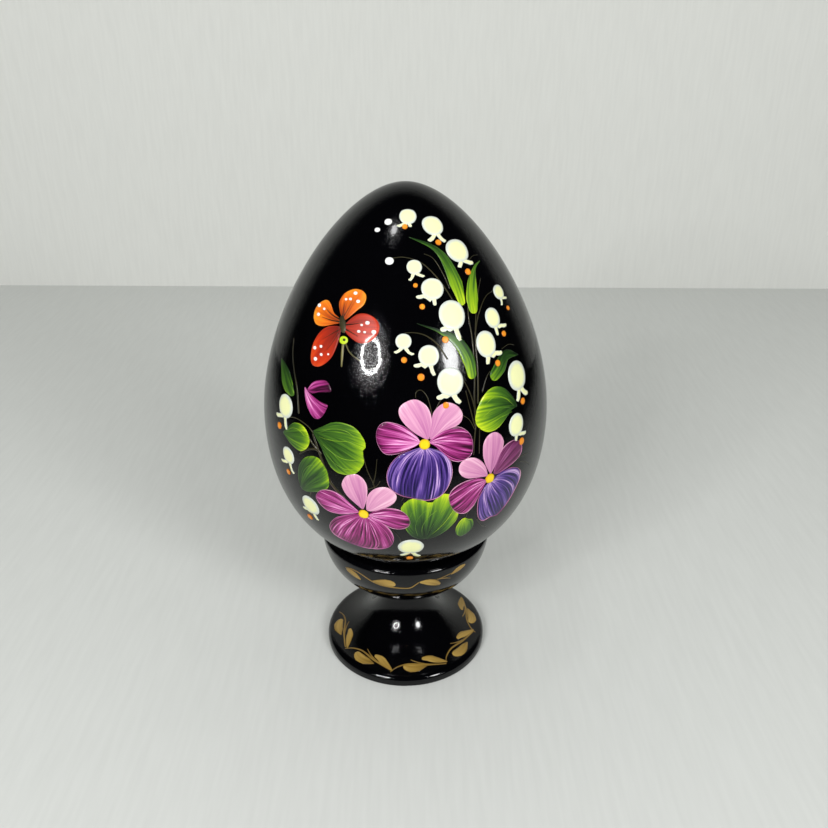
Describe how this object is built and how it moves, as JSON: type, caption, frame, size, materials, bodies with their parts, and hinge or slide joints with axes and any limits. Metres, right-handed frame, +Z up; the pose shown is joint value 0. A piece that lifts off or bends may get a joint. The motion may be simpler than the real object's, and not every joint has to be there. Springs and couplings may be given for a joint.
{
  "type": "painted egg on stand",
  "caption": "Large lacquered wooden egg painted with garden flowers, leaves and a butterfly, standing loose in the cup of a low turned stand.",
  "frame": {"origin": "centre of the foot's flat base, on the turning axis", "axes": "+Z up along the turning axis; the painted front of the egg faces -Y; +X to the right of a person facing that front"},
  "size_m": [0.06, 0.06, 0.1092],
  "materials": {
    "egg_lacquer": "turned wood under gloss black lacquer, hand painted with raised flowers and varnished over",
    "stand_lacquer": "turned wood under gloss black lacquer, with a gilt leaf scroll"
  },
  "bodies": {
    "stand": {"stand": "stand_lacquer"},
    "egg": {"egg": "egg_lacquer"}
  },
  "joints": [
    {"name": "egg_lift", "type": "slide", "parent": "stand", "child": "egg", "axis": [0, 0, 1], "range_m": [0, 0.05]}
  ]
}
